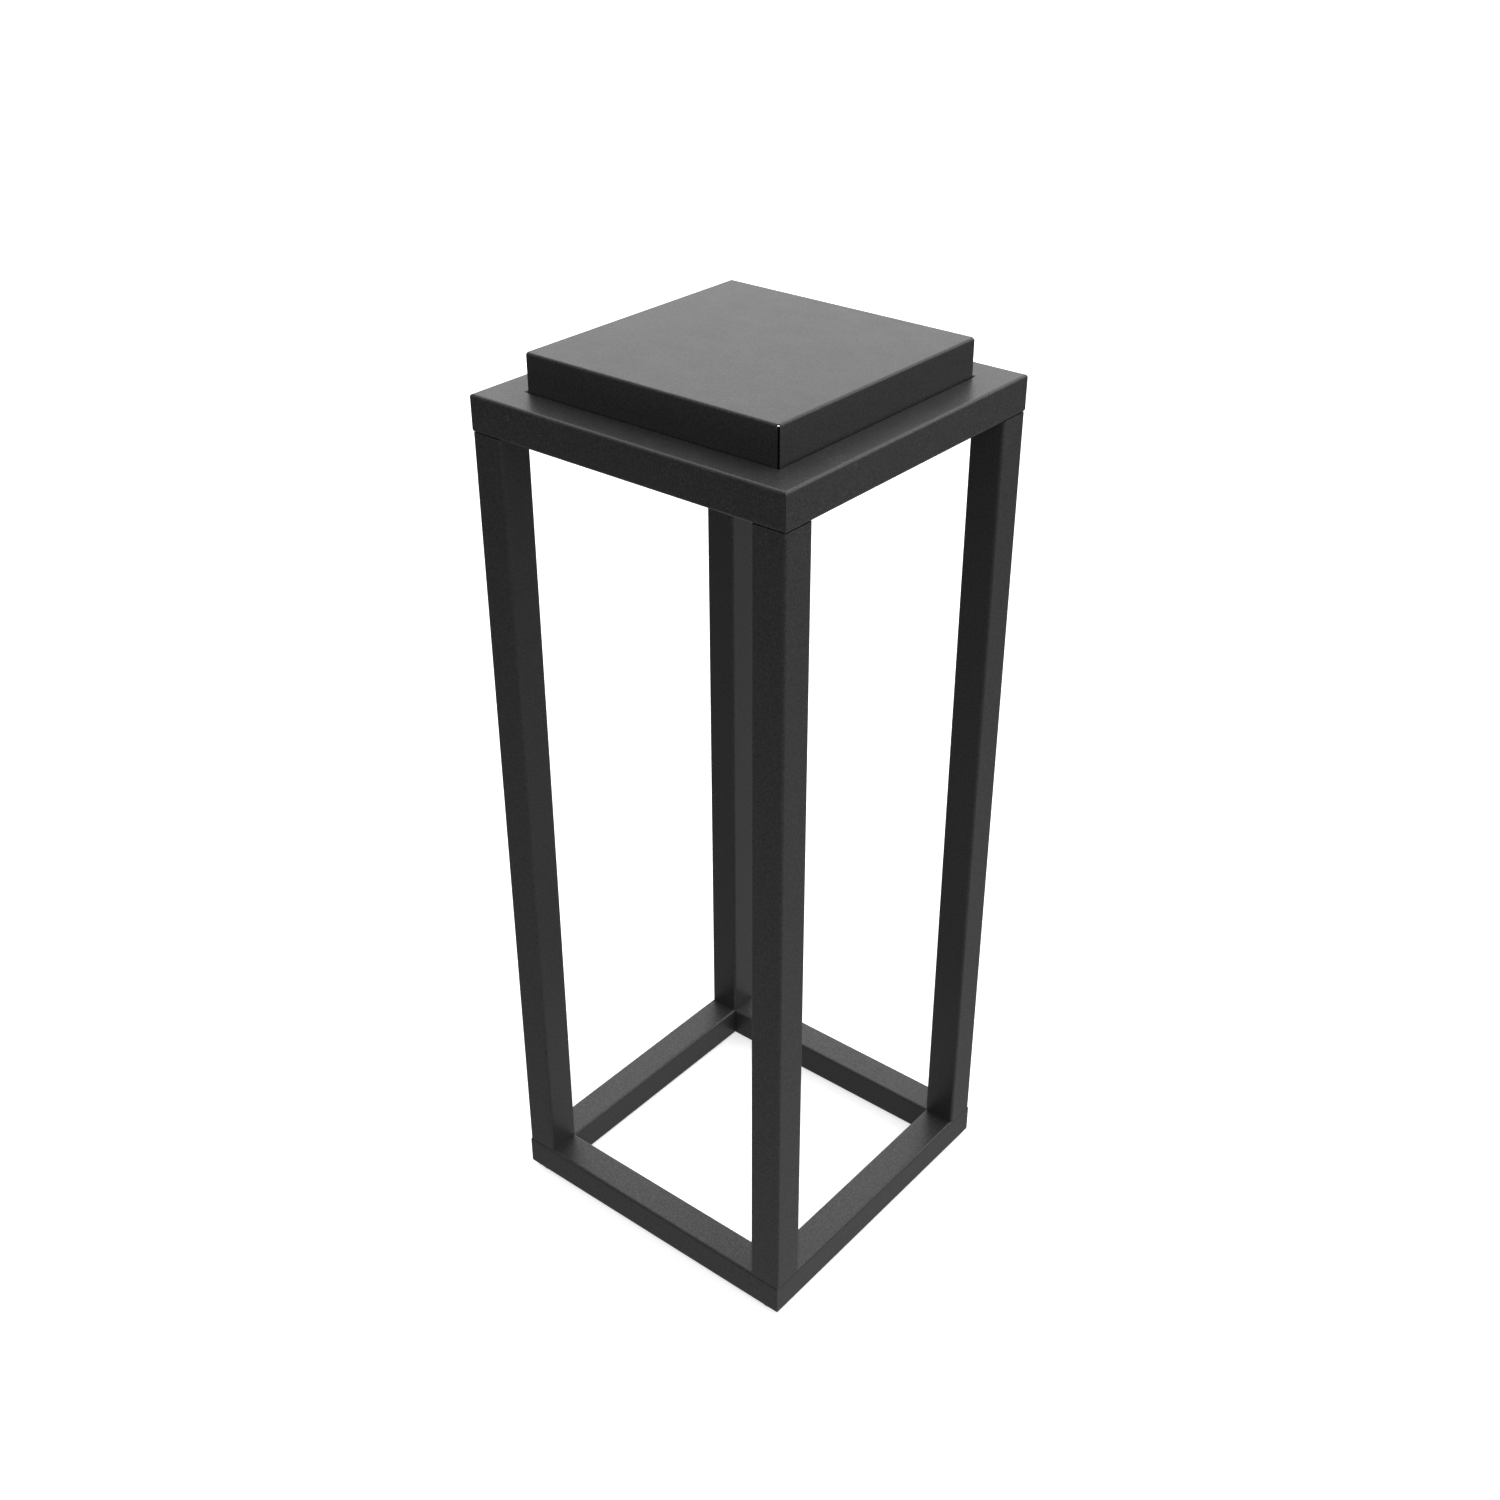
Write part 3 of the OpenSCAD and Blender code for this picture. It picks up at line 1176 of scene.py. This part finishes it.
def add_dome(stage):
    """Soft studio dome: even sky, lit wall behind, wide light overhead, dim light from the ground."""
    world = bpy.data.worlds.new("studio_dome")
    sheet = NodeSheet("studio_dome", world)
    facing = sheet.add("ShaderNodeTexCoord").outputs["Generated"]

    def towards(direction):
        inputs = {0: facing, 1: direction}
        return sheet.add("ShaderNodeVectorMath", inputs, operation="DOT_PRODUCT").outputs["Value"]

    up = Vector((0, 0, 1))
    behind = towards(heading(stage.wall_azimuth, 0))
    wall = sheet.spread(behind, -0.08, 0.08, stage.sky, stage.sky + stage.wall)
    overhead = sheet.maths("POWER", sheet.maths("MAXIMUM", towards(up), 0.0), stage.overhead_fade)
    above = sheet.maths("MULTIPLY_ADD", overhead, stage.overhead, wall)
    above = sheet.maths("MULTIPLY", above, sheet.spread(towards(up), -0.02, 0.02))
    lit_ground = heading(math.pi / 2, stage.ground_lean - math.pi / 2)
    ground = sheet.maths("POWER", sheet.maths("MAXIMUM", towards(lit_ground), 0.0), stage.ground_fade)
    ground = sheet.maths("MULTIPLY", ground, sheet.spread(towards(-up), 0.0, 0.04))
    light = sheet.maths("MULTIPLY_ADD", ground, stage.ground, above)
    background = sheet.add("ShaderNodeBackground", {"Color": (1.0, 1.0, 1.0, 1.0), "Strength": light})
    sheet.add("ShaderNodeOutputWorld", {"Surface": background.outputs[0]})
    bpy.context.scene.world = world


class PLINTH_OT_stage(Operator):
    """Set the floor, the soft studio light and the camera"""

    bl_idname = "plinth.stage"
    bl_label = "Stage"

    def execute(self, context):
        stage = context.scene.plinth_stage
        add_camera(stage)
        add_floor(stage)
        add_dome(stage)
        context.scene.view_settings.view_transform = "Standard"
        context.scene.view_settings.look = "None"
        return {"FINISHED"}


# ---------------------------------------------------------------- panel and registration


OPERATORS = (
    PLINTH_OT_base_ring,
    PLINTH_OT_legs,
    PLINTH_OT_top_ring,
    PLINTH_OT_lid,
    PLINTH_OT_brackets,
    PLINTH_OT_pads,
    PLINTH_OT_bushes,
    PLINTH_OT_stems,
    PLINTH_OT_glides,
    PLINTH_OT_stage,
)


class PLINTH_PT_sidebar(Panel):
    """Lists the settings and the steps that build the plinth"""

    bl_idname = "PLINTH_PT_sidebar"
    bl_label = "Display plinth"
    bl_space_type = "VIEW_3D"
    bl_region_type = "UI"
    bl_category = "Plinth"

    def draw(self, context):
        for name, group in SETTINGS.items():
            box = self.layout.box()
            box.label(text=group.__name__.replace("Settings", ""))
            settings = getattr(context.scene, name)
            for key in group.__annotations__:
                box.prop(settings, key)
        for operator in OPERATORS:
            self.layout.operator(operator.bl_idname)


CLASSES = (*SETTINGS.values(), *OPERATORS, PLINTH_PT_sidebar)


def register():
    for cls in CLASSES:
        bpy.utils.register_class(cls)
    for name, group in SETTINGS.items():
        setattr(bpy.types.Scene, name, PointerProperty(type=group))


def unregister():
    for name in SETTINGS:
        delattr(bpy.types.Scene, name)
    for cls in reversed(CLASSES):
        bpy.utils.unregister_class(cls)


def main():
    register()
    for operator in OPERATORS:
        family, name = operator.bl_idname.split(".")
        getattr(getattr(bpy.ops, family), name)()


if __name__ == "__main__":
    main()
